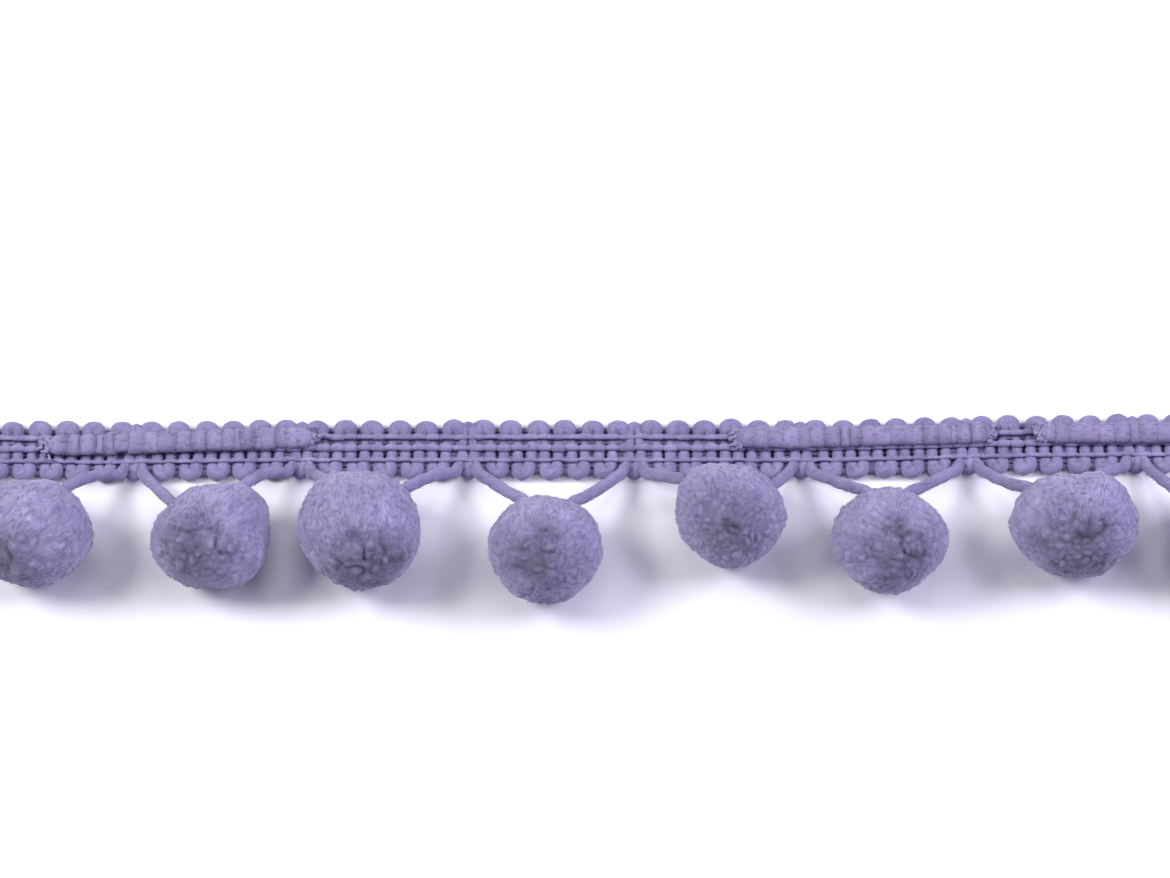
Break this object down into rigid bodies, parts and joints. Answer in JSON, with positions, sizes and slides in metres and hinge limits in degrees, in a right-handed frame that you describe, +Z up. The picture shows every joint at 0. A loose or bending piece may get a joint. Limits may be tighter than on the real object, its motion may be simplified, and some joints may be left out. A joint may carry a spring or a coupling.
{
  "type": "pompom fringe trim",
  "caption": "Straight length of woven braid trim with scalloped edges, yarn pompoms hung along one edge on cord loops, lying flat on its back.",
  "frame": {"origin": "centre of the trim's box, on the surface it lies on", "axes": "+X along the heading, +Y across it from the pompoms to the heading's free edge, +Z up out of its face"},
  "size_m": [0.14, 0.022, 0.0115],
  "materials": {
    "braid_yarn": "matte lavender-grey soft-spun yarn, woven",
    "laid_yarn": "matte lavender-grey thick roving yarn",
    "pompom_yarn": "matte lavender-grey cut pile",
    "cord_yarn": "matte lavender-grey twisted cord"
  },
  "bodies": {
    "root": {"heading": "braid_yarn", "laid_yarn_1": "laid_yarn", "laid_yarn_2": "laid_yarn", "laid_yarn_3": "laid_yarn", "pompom_1": "pompom_yarn", "pompom_2": "pompom_yarn", "pompom_3": "pompom_yarn", "pompom_4": "pompom_yarn", "pompom_5": "pompom_yarn", "pompom_6": "pompom_yarn", "pompom_7": "pompom_yarn", "pompom_8": "pompom_yarn", "hanger_1_left": "cord_yarn", "hanger_1_right": "cord_yarn", "hanger_2_left": "cord_yarn", "hanger_2_right": "cord_yarn", "hanger_3_left": "cord_yarn", "hanger_3_right": "cord_yarn", "hanger_4_left": "cord_yarn", "hanger_4_right": "cord_yarn", "hanger_5_left": "cord_yarn", "hanger_5_right": "cord_yarn", "hanger_6_left": "cord_yarn", "hanger_6_right": "cord_yarn", "hanger_7_left": "cord_yarn", "hanger_7_right": "cord_yarn", "hanger_8_left": "cord_yarn", "hanger_8_right": "cord_yarn"}
  },
  "joints": []
}
